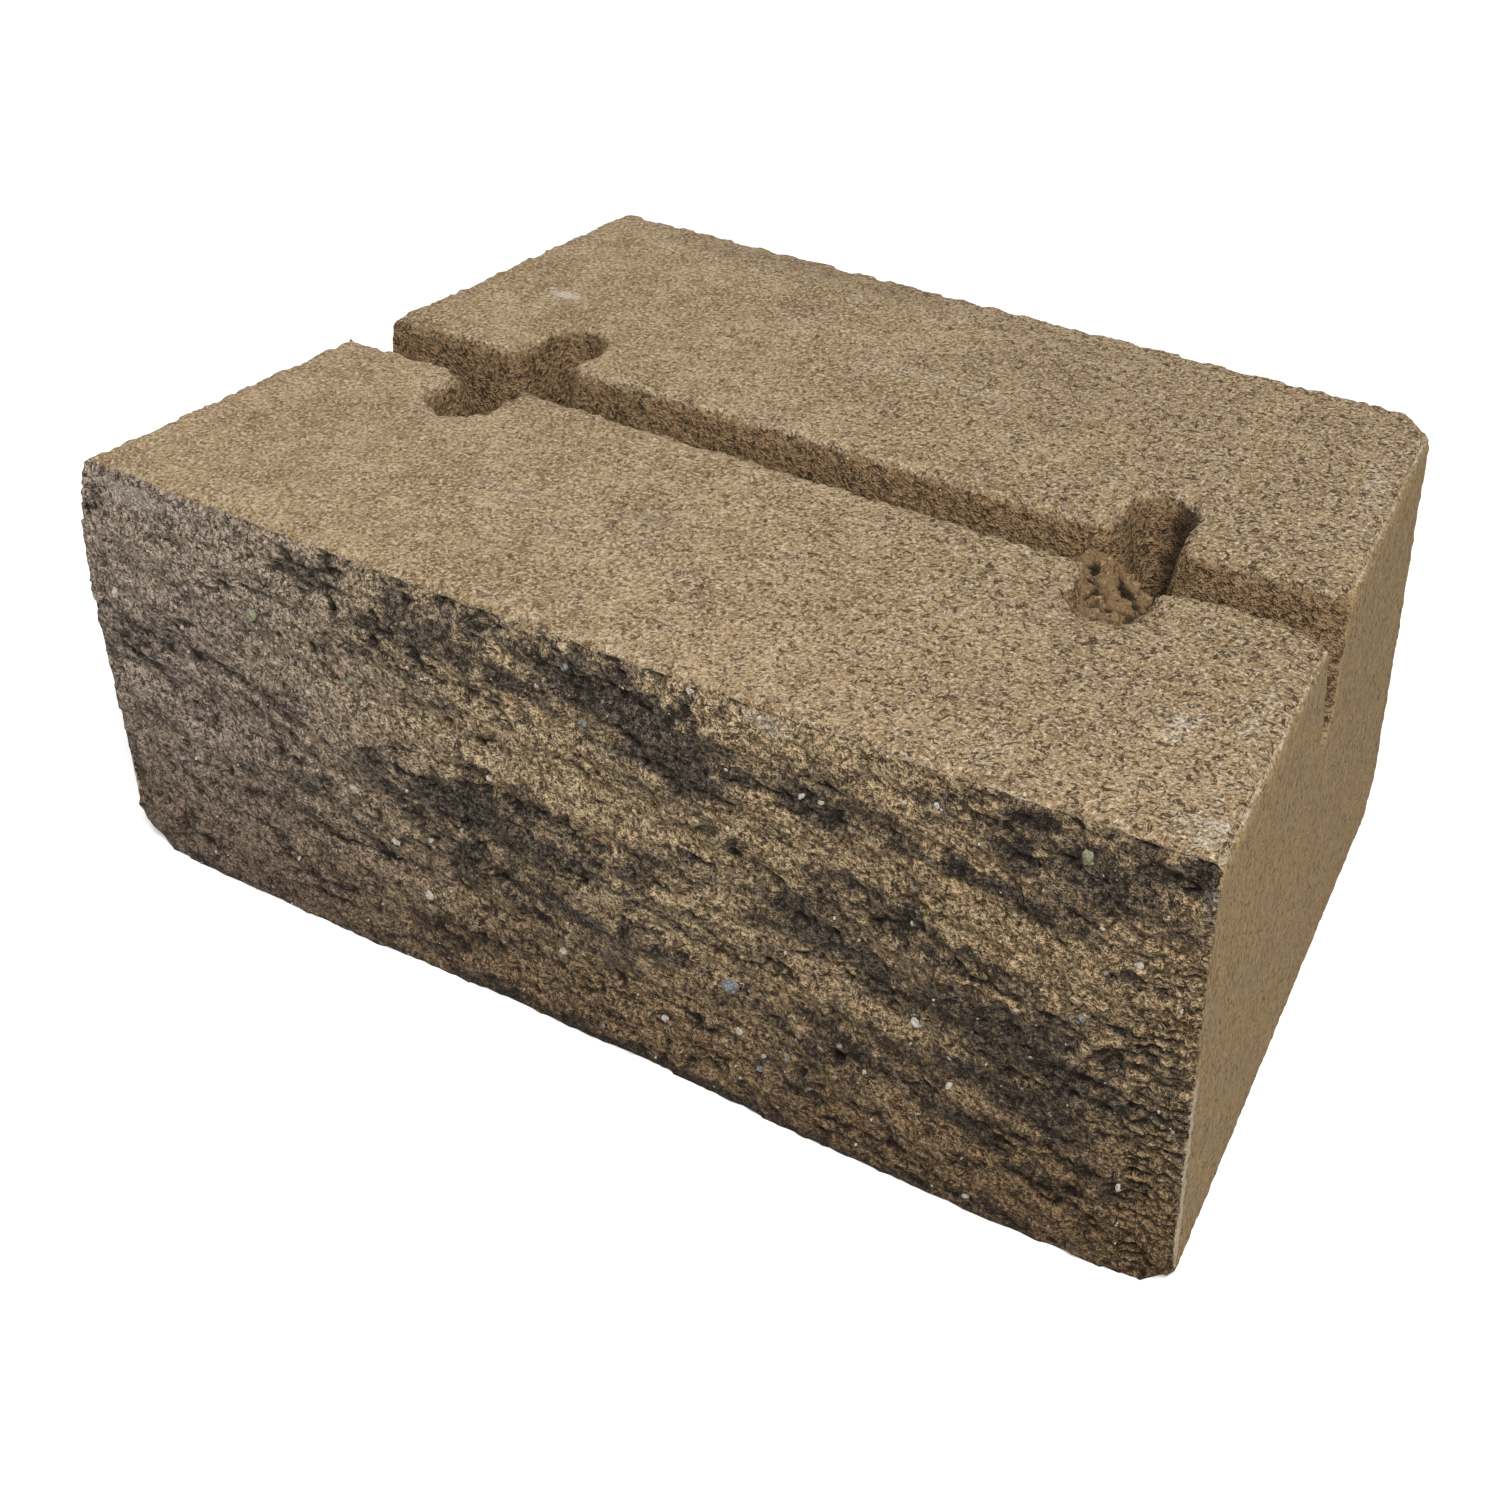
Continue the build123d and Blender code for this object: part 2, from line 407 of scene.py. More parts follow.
def close_concrete(tree, base, crack, grain, dust, depth):
    """The matt surface itself, with the grains, cracks and dust as a fine bump."""
    height = put(tree, "ShaderNodeMath", {0: dust, 1: 0.35, 2: grain}, 0,
                 operation="MULTIPLY_ADD")
    height = put(tree, "ShaderNodeMath", {0: crack, 1: -0.25, 2: height}, 0,
                 operation="MULTIPLY_ADD")
    bump = put(tree, "ShaderNodeBump", {"Strength": 1.0, "Distance": depth, "Height": height},
               "Normal")
    surface = put(tree, "ShaderNodeBsdfPrincipled", {
        "Base Color": base, "Roughness": 0.95, "IOR": 1.45, "Specular IOR Level": 0.3,
        "Normal": bump}, 0)
    put(tree, "ShaderNodeOutputMaterial", {"Surface": surface})


# %% Pressed top bed
def pressed_concrete():
    # Tamped from above: an even tan skin with open cracks, and pale lime where it dried.
    material, tree = new_material("pressed_tan_concrete")
    mix = sand(tree, 1.3 * MM, "arris", "stain", "bloom")
    right = put(tree, "ShaderNodeSeparateXYZ", {0: mix.where}, 0)
    cloud = put(tree, "ShaderNodeTexNoise", {
        "Vector": mix.where, "Scale": 1 / (26 * MM), "Detail": 5.0, "Roughness": 0.65}, 0)
    patch = put(tree, "ShaderNodeTexNoise", {
        "Vector": mix.where, "Scale": 1 / (6 * MM), "Detail": 4.0, "Roughness": 0.65}, 0)
    base = blend(tree, cloud, 0.35, 0.65, "#997D59", "#B79B75")
    base = blend(tree, patch, 0.5, 0.64, base, "#846C4E", 0.5)
    base = blend(tree, patch, 0.5, 0.36, base, "#C6B08F", 0.5)
    base = blend(tree, right, -100 * MM, 180 * MM, base, "#93795A", 0.35)
    base = blend(tree, mix.grain, 0.51, 0.64, base, "#DBCAAC", 0.8)
    base = blend(tree, mix.grain, 0.46, 0.34, base, "#644B31", 0.8)
    base = blend(tree, mix.dust, 0.5, 0.75, base, "#CFBD9E", 0.35)
    base = blend(tree, mix.stain, 0.1, 0.9, base, "#7D6C58", 0.5)
    # The cracks open more and more to the right, where the mix was drier.
    more = put(tree, "ShaderNodeMapRange", {
        0: right, 1: -200 * MM, 2: 150 * MM, 3: 0.35, 4: 1.0}, 0)
    open_crack = put(tree, "ShaderNodeMath", {0: mix.crack, 1: more}, 0, operation="MULTIPLY")
    # The dark in the open cracks and in the pits is painted shade.
    base = blend(tree, open_crack, 0.1, 0.9, base, "#3E2D1A", 0.85)
    pit = put(tree, "ShaderNodeMath", {0: mix.other, 1: more}, 0, operation="DIVIDE")
    base = blend(tree, pit, 0.42, 0.32, base, "#4A3823", 0.8)
    # Lime dries on the tops of the grains, so it comes in flecks.
    fleck = put(tree, "ShaderNodeMath", {0: patch, 1: 1.6, 2: mix.bloom}, 0,
                operation="MULTIPLY_ADD")
    fleck = put(tree, "ShaderNodeMath", {0: mix.grain, 1: 1.2, 2: fleck}, 0,
                operation="MULTIPLY_ADD")
    base = blend(tree, fleck, 1.85, 2.3, base, "#DDD3C2", 0.7)
    rim = put(tree, "ShaderNodeMath", {0: patch, 1: 1.5, 2: mix.arris}, 0, operation="MULTIPLY_ADD")
    base = blend(tree, rim, 1.6, 1.95, base, "#CFC2A9", 0.6)
    crumbled = put(tree, "ShaderNodeMath", {0: mix.other, 1: 1.6, 2: mix.arris}, 0,
                   operation="MULTIPLY_ADD")
    base = blend(tree, crumbled, 1.8, 2.0, base, "#43362A", 0.7)
    close_concrete(tree, base, open_crack, mix.grain, mix.dust, 2.0 * MM)
    return material


# %% Walls that slid along the mould
def mould_concrete():
    # Pushed out past steel: smeared smooth, with fine upright scratches and slots.
    material, tree = new_material("mould_wall_concrete")
    mix = sand(tree, 1.2 * MM, "arris", "nose")
    upright = put(tree, "ShaderNodeVectorMath", {0: mix.where, 1: (1.0, 1.0, 0.22)}, 0,
                  operation="MULTIPLY")
    drag = put(tree, "ShaderNodeTexNoise", {
        "Vector": upright, "Scale": 1 / (1.6 * MM), "Detail": 4.0, "Roughness": 0.65}, 0)
    slots = put(tree, "ShaderNodeVectorMath", {0: mix.where, 1: (1.0, 1.0, 0.6)}, 0,
                operation="MULTIPLY")
    slots = put(tree, "ShaderNodeTexNoise", {
        "Vector": slots, "Scale": 1 / (1.5 * MM), "Detail": 1.0}, 0)
    cloud = put(tree, "ShaderNodeTexNoise", {
        "Vector": mix.where, "Scale": 1 / (24 * MM), "Detail": 5.0, "Roughness": 0.65}, 0)
    base = blend(tree, drag, 0.32, 0.68, "#967B56", "#B2976F")
    base = blend(tree, cloud, 0.4, 0.65, base, "#9E8763", 0.5)
    base = blend(tree, mix.grain, 0.5, 0.68, base, "#C6AC85", 0.5)
    base = blend(tree, mix.grain, 0.46, 0.32, base, "#77623F", 0.55)
    # Painted shade in the upright slots and in the cracks.
    base = blend(tree, slots, 0.62, 0.69, base, "#57442D", 0.8)
    base = blend(tree, mix.crack, 0.2, 1.0, base, "#5F4C34", 0.5)
    edge = put(tree, "ShaderNodeMath", {0: mix.arris, 1: mix.nose}, 0, operation="MAXIMUM")
    rim = put(tree, "ShaderNodeMath", {0: mix.grain, 1: 1.5, 2: edge}, 0, operation="MULTIPLY_ADD")
    base = blend(tree, rim, 1.35, 1.8, base, "#D6C8AC", 0.75)
    close_concrete(tree, base, mix.crack, drag, mix.dust, 1.0 * MM)
    return material


# %% Inside of the groove and pockets
def core_concrete():
    # Left by the mould's core as it pulled out: brown, torn and grainy.
    material, tree = new_material("groove_wall_concrete")
    mix = sand(tree, 1.6 * MM, "hollow", "damp", "arris")
    base = blend(tree, mix.grain, 0.35, 0.65, "#745B3F", "#AC8D69")
    base = blend(tree, mix.other, 0.58, 0.72, base, "#3E2E1F", 0.7)
    base = blend(tree, mix.dust, 0.5, 0.75, base, "#B1956F", 0.45)
    # Painted shade in the cracks.
    base = blend(tree, mix.crack, 0.2, 1.0, base, "#2F2317", 0.7)
    # Painted shade in the deep places between the heap's crumbs.
    base = blend(tree, mix.hollow, 0.3, 1.6, base, "#2C2014", 0.8)
    # Painted shade on the pocket walls that face away from the light.
    base = blend(tree, mix.damp, 0.2, 0.9, base, "#241A10", 0.75)
    rim = put(tree, "ShaderNodeMath", {0: mix.grain, 1: 1.5, 2: mix.arris}, 0,
              operation="MULTIPLY_ADD")
    base = blend(tree, rim, 1.4, 1.9, base, "#BDA682", 0.7)
    close_concrete(tree, base, mix.crack, mix.grain, mix.dust, 3.0 * MM)
    return material


# %% Broken front
LEDGE_LEAN = math.radians(-9)
LEDGE_STRETCH = (0.55, 1.0, 1.9)


def leaning_place(tree, where):
    """Places turned and squeezed, so that a noise read there lies in slanted ledges."""
    leaning = put(tree, "ShaderNodeVectorRotate", {
        "Vector": where, "Axis": (0.0, 1.0, 0.0), "Angle": LEDGE_LEAN}, 0)
    return put(tree, "ShaderNodeVectorMath", {0: leaning, 1: LEDGE_STRETCH}, 0,
               operation="MULTIPLY")


def split_concrete():
    # Torn by the splitter's blade: bright grains, dark gaps, and two colours half mixed.
    material, tree = new_material("split_face_concrete")
    mix = sand(tree, 1.5 * MM, "hollow", "charcoal", "arris", "dusty", "nose")
    place = put(tree, "ShaderNodeSeparateXYZ", {0: mix.where}).outputs
    leaning = leaning_place(tree, mix.where)
    cloud = put(tree, "ShaderNodeTexNoise", {
        "Vector": leaning, "Scale": 1 / (13 * MM), "Detail": 6.0, "Roughness": 0.72}, 0)
    tan = blend(tree, mix.grain, 0.36, 0.62, "#826A4A", "#EACDA2")
    tan = blend(tree, mix.dust, 0.5, 0.75, tan, "#DCC8A8", 0.5)
    left = blend(tree, mix.grain, 0.36, 0.62, "#8E7D6F", "#DBC7B6")
    tan = blend(tree, place["X"], 0.0, -170 * MM, tan, left, 0.85)
    dark = blend(tree, mix.grain, 0.36, 0.64, "#211C18", "#6E6459")
    dark = blend(tree, mix.other, 0.57, 0.66, dark, "#A48F75", 0.6)
    # The border between the colours breaks up by clouds, by lumps and by single grains.
    mixed = put(tree, "ShaderNodeMath", {0: cloud, 1: 4.0, 2: mix.charcoal}, 0,
                operation="MULTIPLY_ADD")
    mixed = put(tree, "ShaderNodeMath", {0: mix.other, 1: 1.6, 2: mixed}, 0,
                operation="MULTIPLY_ADD")
    mixed = put(tree, "ShaderNodeMath", {0: mix.hollow, 1: 0.3, 2: mixed}, 0,
                operation="MULTIPLY_ADD")
    base = blend(tree, mixed, 2.7, 3.7, tan, dark, 0.95)
    # Darker towards the bottom: partly painted shade, where less light reaches the foot, and partly
    # brown dirt.
    base = blend(tree, place["Z"], 80 * MM, 0.0, base, "#B5A79C", 0.8, "MULTIPLY")
    base = blend(tree, place["X"], 0.0, 160 * MM, base, "#DDD3C6", 0.5, "MULTIPLY")
    # Painted shade: the deep places of the relief are darkened, less so near the edge.
    depth = put(tree, "ShaderNodeMath", {0: mix.arris, 1: -1.6, 2: mix.hollow}, 0,
                operation="MULTIPLY_ADD")
    base = blend(tree, depth, 0.7, 2.4, base, "#211A13", 0.75)
    # Painted shade in the cracks and in small pits.
    base = blend(tree, mix.crack, 0.15, 0.8, base, "#1D1711", 0.7)
    base = blend(tree, mix.other, 0.44, 0.34, base, "#2A2119", 0.75)
    dusty = put(tree, "ShaderNodeMath", {0: mix.grain, 1: 1.4, 2: mix.dusty}, 0,
                operation="MULTIPLY_ADD")
    base = blend(tree, dusty, 1.4, 1.9, base, "#C9BAAD", 0.65)
    nose = put(tree, "ShaderNodeMath", {0: mix.grain, 1: 2.0, 2: mix.nose}, 0,
               operation="MULTIPLY_ADD")
    base = blend(tree, nose, 1.8, 2.3, base, "#B7AB90", 0.5)
    rim = put(tree, "ShaderNodeMath", {0: cloud, 1: 2.0, 2: mix.arris}, 0,
              operation="MULTIPLY_ADD")
    base = blend(tree, rim, 1.75, 2.1, base, "#C9B596", 0.7)
    close_concrete(tree, base, mix.crack, mix.grain, mix.dust, 4.5 * MM)
    return material


# %% The four finishes
FINISHES = {"wall": mould_concrete(), "bed": pressed_concrete(), "core": core_concrete(),
            "split": split_concrete()}
print("finishes:", [finish.name for finish in FINISHES.values()])

# %% [markdown]
# ## Breaking and pressing the skin
# A split face is stones and lumps torn out of the paste, at several sizes at once. A
# pressed face is nearly flat, with grit and pores, and its edges crumble. All of it is
# noise of known sizes, so a geometry tree pushes each point along its normal by a sum of
# noises, and the weights choose which noise counts. Sculpting it by hand would look as
# good, but nobody could then change a size.

# %% Sizes of the relief, in metres
RELIEF = {
    "Boulder Size": 40.0 * MM, "Boulder Height": 6.0 * MM,
    "Ledge Size": 26.0 * MM, "Ledge Height": 9.0 * MM,
    "Lump Size": 9.0 * MM, "Lump Height": 6.2 * MM,
    "Grain Size": 3.0 * MM, "Grain Height": 3.8 * MM,
    "Socket Spacing": 13.0 * MM, "Socket Depth": 1.8 * MM,
    "Comb Pitch": 3.8 * MM, "Comb Depth": 2.6 * MM,
    "Crease Size": 20.0 * MM, "Crease Depth": 1.6 * MM,
    "Sway Size": 16.0 * MM, "Sway Height": 0.7 * MM,
    "Grit Size": 2.6 * MM, "Grit Height": 1.0 * MM,
    "Pore Spacing": 9.0 * MM, "Pore Depth": 0.7 * MM,
    "Drag Size": 6.0 * MM, "Drag Height": 2.6 * MM,
    "Crumb Size": 5.5 * MM, "Crumb Height": 5.0 * MM,
    "Wear Size": 7.0 * MM, "Wear Depth": 3.2 * MM,
    "Box Low": tuple(cad_low), "Box High": tuple(cad_high),
}


# %% Helpers for relief
HOLLOW_SHARE = 0.35
CRUMB_MIDDLE = 0.45


def relief_layer(tree, ins, name, where, detail, below):
    """One more size of lump on top of the relief below it: noise about a mean of nothing."""
    scale = put(tree, "ShaderNodeMath", {0: 1.0, 1: ins[name + " Size"]}, 0, operation="DIVIDE")
    noise = put(tree, "ShaderNodeTexNoise", {
        "Vector": where, "Scale": scale, "Detail": detail, "Roughness": 0.6}, 0)
    level = put(tree, "ShaderNodeMath", {0: noise, 1: 0.5}, 0, operation="SUBTRACT")
    return put(tree, "ShaderNodeMath", {0: level, 1: ins[name + " Height"], 2: below}, 0,
               operation="MULTIPLY_ADD")


def dimples(tree, ins, name, where, radius, below):
    """Round hollows in the relief below, one in each of a share of random cells."""
    scale = put(tree, "ShaderNodeMath", {0: 1.0, 1: ins[name + " Spacing"]}, 0,
                operation="DIVIDE")
    cells = put(tree, "ShaderNodeTexVoronoi", {"Vector": where, "Scale": scale})
    shape = put(tree, "ShaderNodeMapRange", {
        0: cells.outputs["Distance"], 1: radius, 2: radius * 0.4, 3: 0.0, 4: -1.0}, 0,
        interpolation_type="SMOOTHSTEP")
    draw = put(tree, "ShaderNodeSeparateXYZ", {0: cells.outputs["Color"]}, 0)
    chosen = put(tree, "ShaderNodeMath", {0: draw, 1: HOLLOW_SHARE}, 0, operation="LESS_THAN")
    shape = put(tree, "ShaderNodeMath", {0: shape, 1: chosen}, 0, operation="MULTIPLY")
    return put(tree, "ShaderNodeMath", {0: shape, 1: ins[name + " Depth"], 2: below}, 0,
               operation="MULTIPLY_ADD")


def crumb_skin(tree, ins, where):
    """Crumbs side by side: each cell is high in its middle and low where it meets others."""
    scale = put(tree, "ShaderNodeMath", {0: 1.0, 1: ins["Crumb Size"]}, 0, operation="DIVIDE")
    cells = put(tree, "ShaderNodeTexVoronoi", {"Vector": where, "Scale": scale}, "Distance")
    return put(tree, "ShaderNodeMath", {0: CRUMB_MIDDLE, 1: cells}, 0, operation="SUBTRACT")


def boxed(tree, ins, target):
    """Places held inside the solid's own box."""
    target = put(tree, "ShaderNodeVectorMath", {0: target, 1: ins["Box Low"]}, 0,
                 operation="MAXIMUM")
    return put(tree, "ShaderNodeVectorMath", {0: target, 1: ins["Box High"]}, 0,
               operation="MINIMUM")


# %% Creases and comb marks
COMB_WIDTH, COMB_FULL = 22.0 * MM, 15.0 * MM
COMB_TOP, COMB_CLEAR = 132.0 * MM, 112.0 * MM
COMB_LEAST = 0.15
COMB_WANDER = 9.0 * MM


def creases(tree, ins, leaning, below):
    """Slanted cracks where one ledge of the break ends and the next begins."""
    scale = put(tree, "ShaderNodeMath", {0: 1.0, 1: ins["Crease Size"]}, 0, operation="DIVIDE")
    noise = put(tree, "ShaderNodeTexNoise", {
        "Vector": leaning, "Scale": scale, "Detail": 3.0, "Roughness": 0.6}, "Color")
    tones = put(tree, "FunctionNodeSeparateColor", {0: noise}).outputs
    middle = put(tree, "ShaderNodeMath", {0: tones[1], 1: 0.5}, 0, operation="SUBTRACT")
    middle = put(tree, "ShaderNodeMath", {0: middle}, 0, operation="ABSOLUTE")
    line = put(tree, "ShaderNodeMapRange", {0: middle, 1: 0.045, 2: 0.005}, 0,
               interpolation_type="SMOOTHSTEP")
    often = put(tree, "ShaderNodeMapRange", {0: tones[2], 1: 0.48, 2: 0.56, 3: 0.0, 4: -1.0}, 0)
    line = put(tree, "ShaderNodeMath", {0: line, 1: often}, 0, operation="MULTIPLY")
    return put(tree, "ShaderNodeMath", {0: line, 1: ins["Crease Depth"], 2: below}, 0,
               operation="MULTIPLY_ADD")


def comb_marks(tree, ins, where, parts, below):
    """Ripples that wander across the last stretch before the face's right-hand edge."""
    band = put(tree, "ShaderNodeMapRange", {
        0: parts["X"], 1: FRONT_WIDTH / 2 - COMB_WIDTH, 2: FRONT_WIDTH / 2 - COMB_FULL}, 0,
        interpolation_type="SMOOTHSTEP")
    fade = put(tree, "ShaderNodeMapRange", {
        0: parts["Z"], 1: COMB_TOP, 2: COMB_CLEAR, 3: COMB_LEAST, 4: 1.0}, 0)
    wander = put(tree, "ShaderNodeTexNoise", {
        "Vector": where, "Scale": 1 / COMB_WANDER, "Detail": 1.0}, 0)
    phase = put(tree, "ShaderNodeMath", {0: wander, 1: COMB_WANDER, 2: parts["Z"]}, 0,
                operation="MULTIPLY_ADD")
    phase = put(tree, "ShaderNodeMath", {0: phase, 1: ins["Comb Pitch"]}, 0, operation="DIVIDE")
    # Ping-pong runs from 0 to a half and back, so its mean is a quarter.
    ripple = put(tree, "ShaderNodeMath", {0: phase, 1: 0.5}, 0, operation="PINGPONG")
    ripple = put(tree, "ShaderNodeMath", {0: 0.25, 1: ripple}, 0, operation="SUBTRACT")
    for share in (2.0, band, fade):
        ripple = put(tree, "ShaderNodeMath", {0: ripple, 1: share}, 0, operation="MULTIPLY")
    return put(tree, "ShaderNodeMath", {0: ripple, 1: ins["Comb Depth"], 2: below}, 0,
               operation="MULTIPLY_ADD")


# %% Relief of the broken face
SOCKET_RADIUS = 0.24
FOOT_HEIGHT, FOOT_SHARE = 9.0 * MM, 0.3
CALM_REACH, CALM_SHARE = 160.0 * MM, 0.6


def broken_face(tree, ins, where):
    """Height of the break, and its near part: lumps, grains, sockets, creases and combs."""
    parts = put(tree, "ShaderNodeSeparateXYZ", {0: where}).outputs
    leaning = leaning_place(tree, where)
    wide = relief_layer(tree, ins, "Boulder", where, 2.0, 0.0)
    wide = relief_layer(tree, ins, "Ledge", leaning, 3.0, wide)
    near = relief_layer(tree, ins, "Lump", where, 3.0, 0.0)
    near = relief_layer(tree, ins, "Grain", where, 2.0, near)
    near = dimples(tree, ins, "Socket", where, SOCKET_RADIUS, near)
    near = creases(tree, ins, leaning, near)
    near = comb_marks(tree, ins, where, parts, near)
    height = put(tree, "ShaderNodeMath", {0: wide, 1: near}, 0, operation="ADD")
    # The break runs out evenly at the bed, and the left third broke smoother.
    foot = put(tree, "ShaderNodeMapRange", {
        0: parts["Z"], 1: 0.0, 2: FOOT_HEIGHT, 3: FOOT_SHARE, 4: 1.0}, 0)
    calm = put(tree, "ShaderNodeMapRange", {
        0: parts["X"], 1: -CALM_REACH, 2: 0.0, 3: CALM_SHARE, 4: 1.0}, 0)
    for share in (foot, calm):
        height = put(tree, "ShaderNodeMath", {0: height, 1: share}, 0, operation="MULTIPLY")
    return height, near


# %% Relief of the pressed skin and its edges
PORE_RADIUS = 0.12
SETTLED = -0.2 * MM
EDGE_STEPS = 14


def pressed_face(tree, ins, where):
    """A slight sway, grit, and pores where air was held."""
    height = relief_layer(tree, ins, "Sway", where, 1.0, SETTLED)
    height = relief_layer(tree, ins, "Grit", where, 2.0, height)
    return dimples(tree, ins, "Pore", where, PORE_RADIUS, height)


def crumbling_edge(tree, ins, where, bed):
    """Nearness of the bed's edge, from 0 to 1, and how deep the edge has crumbled."""
    # The bed's weight, spread over a few millimetres, is a half at its edge. There it gives
    # a quarter when multiplied by what it lacks of 1, hence the 4.
    spread = put(tree, "GeometryNodeBlurAttribute", {0: bed, "Iterations": EDGE_STEPS}, 0)
    rest = put(tree, "ShaderNodeMath", {0: 1.0, 1: spread}, 0, operation="SUBTRACT")
    arris = put(tree, "ShaderNodeMath", {0: spread, 1: rest}, 0, operation="MULTIPLY")
    arris = put(tree, "ShaderNodeMath", {0: arris, 1: 4.0}, 0, operation="MULTIPLY",
                use_clamp=True)
    scale = put(tree, "ShaderNodeMath", {0: 1.0, 1: ins["Wear Size"]}, 0, operation="DIVIDE")
    chips = put(tree, "ShaderNodeTexNoise", {
        "Vector": where, "Scale": scale, "Detail": 3.0, "Roughness": 0.65}, 0)
    worn = put(tree, "ShaderNodeMapRange", {0: chips, 1: 0.42, 2: 0.72, 3: 0.1, 4: 1.0}, 0)
    for share in (arris, ins["Wear Depth"]):
        worn = put(tree, "ShaderNodeMath", {0: worn, 1: share}, 0, operation="MULTIPLY")
    return arris, worn


# %% Tree that carves the skin
def carving_tree(finish):
    """Push each point along its normal by the relief of the skins that it belongs to."""
    tree, ins = open_tree("Carve the cast skin", RELIEF)
    where = put(tree, "GeometryNodeInputPosition", result=0)
    normal = put(tree, "GeometryNodeInputNormal", result=0)
    skin = {name: put(tree, "GeometryNodeInputNamedAttribute", {"Name": name}, "Attribute")
            for name in ("wall", "bed", "core", "split", "heap")}
    broken, near = broken_face(tree, ins, where)
    pressed = pressed_face(tree, ins, where)
    dragged = relief_layer(tree, ins, "Drag", where, 4.0, SETTLED)
    crumbs = crumb_skin(tree, ins, where)
    crumbs = put(tree, "ShaderNodeMath", {0: crumbs, 1: ins["Crumb Height"]}, 0,
                 operation="MULTIPLY")
    arris, worn = crumbling_edge(tree, ins, where, skin["bed"])

    total = put(tree, "ShaderNodeMath", {0: worn, 1: -1.0}, 0, operation="MULTIPLY")
    plain = put(tree, "ShaderNodeMath", {0: skin["bed"], 1: skin["wall"]}, 0, operation="ADD")
    for weight, height in ((plain, pressed), (skin["split"], broken), (skin["core"], dragged),
                           (skin["heap"], crumbs)):
        total = put(tree, "ShaderNodeMath", {0: weight, 1: height, 2: total}, 0,
                    operation="MULTIPLY_ADD")
    push = put(tree, "ShaderNodeVectorMath", {0: normal, "Scale": total}, 0, operation="SCALE")
    target = put(tree, "ShaderNodeVectorMath", {0: where, 1: push}, 0, operation="ADD")

    # The deep places of the near relief get painted shade: their depth in mm is stored.
    depth = put(tree, "ShaderNodeMath", {0: near, 1: skin["split"]}, 0, operation="MULTIPLY")
    depth = put(tree, "ShaderNodeMath", {0: crumbs, 1: skin["heap"], 2: depth}, 0,
                operation="MULTIPLY_ADD")
    depth = put(tree, "ShaderNodeMath", {0: depth, 1: -1 / MM}, 0, operation="MULTIPLY")
    grown = ins["Geometry"]
    for name, value in (("hollow", depth), ("arris", arris)):
        grown = put(tree, "GeometryNodeStoreNamedAttribute", {
            "Geometry": grown, "Name": name, "Value": value}, 0,
            data_type="FLOAT", domain="POINT")
    grown = put(tree, "GeometryNodeSetPosition", {
        "Geometry": grown, "Position": boxed(tree, ins, target)}, 0)
    close_tree(tree, grown, finish)
    return tree


run_tree(block, carving_tree(FINISHES["wall"]), {})
print("carved skin:", len(block.data.vertices), "points")

# %% [markdown]
# ## Fewer faces where it is plain
# The even skin spends as many faces on the flat bed as on the broken front. Collapsing
# edges by the error they make takes them from the flats first.

# %% Thin the skin
MOST_FACES = 196_000
block.data.calc_loop_triangles()
faces_now = len(block.data.loop_triangles)
thin = block.modifiers.new("thin", "DECIMATE")
thin.ratio = min(1.0, MOST_FACES / faces_now)
thin.use_collapse_triangulate = True
swap_mesh(block)
keep_in_box(block.data)
print("thinned from", faces_now, "to", len(block.data.polygons), "triangles")

# %% [markdown]
# ## One finish for each face
# Each triangle takes the finish whose weight is the largest on it. That is done after the
# thinning, so that the borders between the finishes follow the triangles that are left.


# %% Give each face its finish
def face_values(mesh, name):
    """A point weight averaged over each triangle."""
    values = np.empty(len(mesh.vertices), dtype=np.float32)
    mesh.attributes[name].data.foreach_get("value", values)
    corners = np.empty(len(mesh.loops), dtype=np.int32)
    mesh.loops.foreach_get("vertex_index", corners)
    return values[corners].reshape(-1, 3).mean(axis=1)


block.data.materials.clear()
for finish in FINISHES.values():
    block.data.materials.append(finish)
weights = np.stack([face_values(block.data, name) for name in FINISHES])
block.data.polygons.foreach_set("material_index", weights.argmax(axis=0).astype(np.int32))
block.data.polygons.foreach_set("use_smooth", np.ones(len(block.data.polygons), dtype=bool))
block.data.update()
print("skins:", [material.name for material in block.data.materials])

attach(block, "root")
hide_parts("block")

# %% [markdown]
# ## Stones, crumbs and grit
# Where the block broke, gravel shows: mostly chips of 1 to 2 mm, and a few white, grey and
# green ones of 3 to 6 mm. Crumbs fell into one pocket and set there, and the pressed edges
# are lined with loose grit. All are small broken lumps, so one geometry tree makes them:
# it puts a low ball on each point, turns and stretches it at random, roughens it, and
# stores a random tone for its colour.


# %% Colours of the broken stones and crumbs
def chip_material(name, dark, light, fleck):
    # Crushed, not polished: matt, and each chip of one tone.
    material, tree = new_material(name)
    mix = sand(tree, 1.2 * MM, "chip_tone", "hollow")
    base = blend(tree, mix.chip_tone, 0.0, 1.0, dark, light)
    base = blend(tree, mix.dust, 0.45, 0.8, base, fleck, 0.35)
    # Painted shade in the deep places between crumbs.
    base = blend(tree, mix.hollow, 0.0, 1.6, base, "#1E150C", 0.95)
    close_concrete(tree, base, mix.crack, mix.grain, mix.dust, 1.0 * MM)
    return material


CHIPS = {
    "Density": 4000.0, "Smallest": 0.8 * MM, "Largest": 2.2 * MM, "Sink": 0.1,
    "Roughness": 0.35, "Weight": "split", "Seed": 7, "Balls": 1,
    "Box Low": tuple(cad_low), "Box High": tuple(cad_high),
}


# %% Tree that scatters broken lumps
CHIP_LEAST, CHIP_MOST = (0.55, 0.55, 0.55), (1.1, 1.1, 1.1)
CHIP_DENT = 1.5 * MM
STRETCH_SEED, TURN_SEED, TONE_SEED = 3, 5, 11


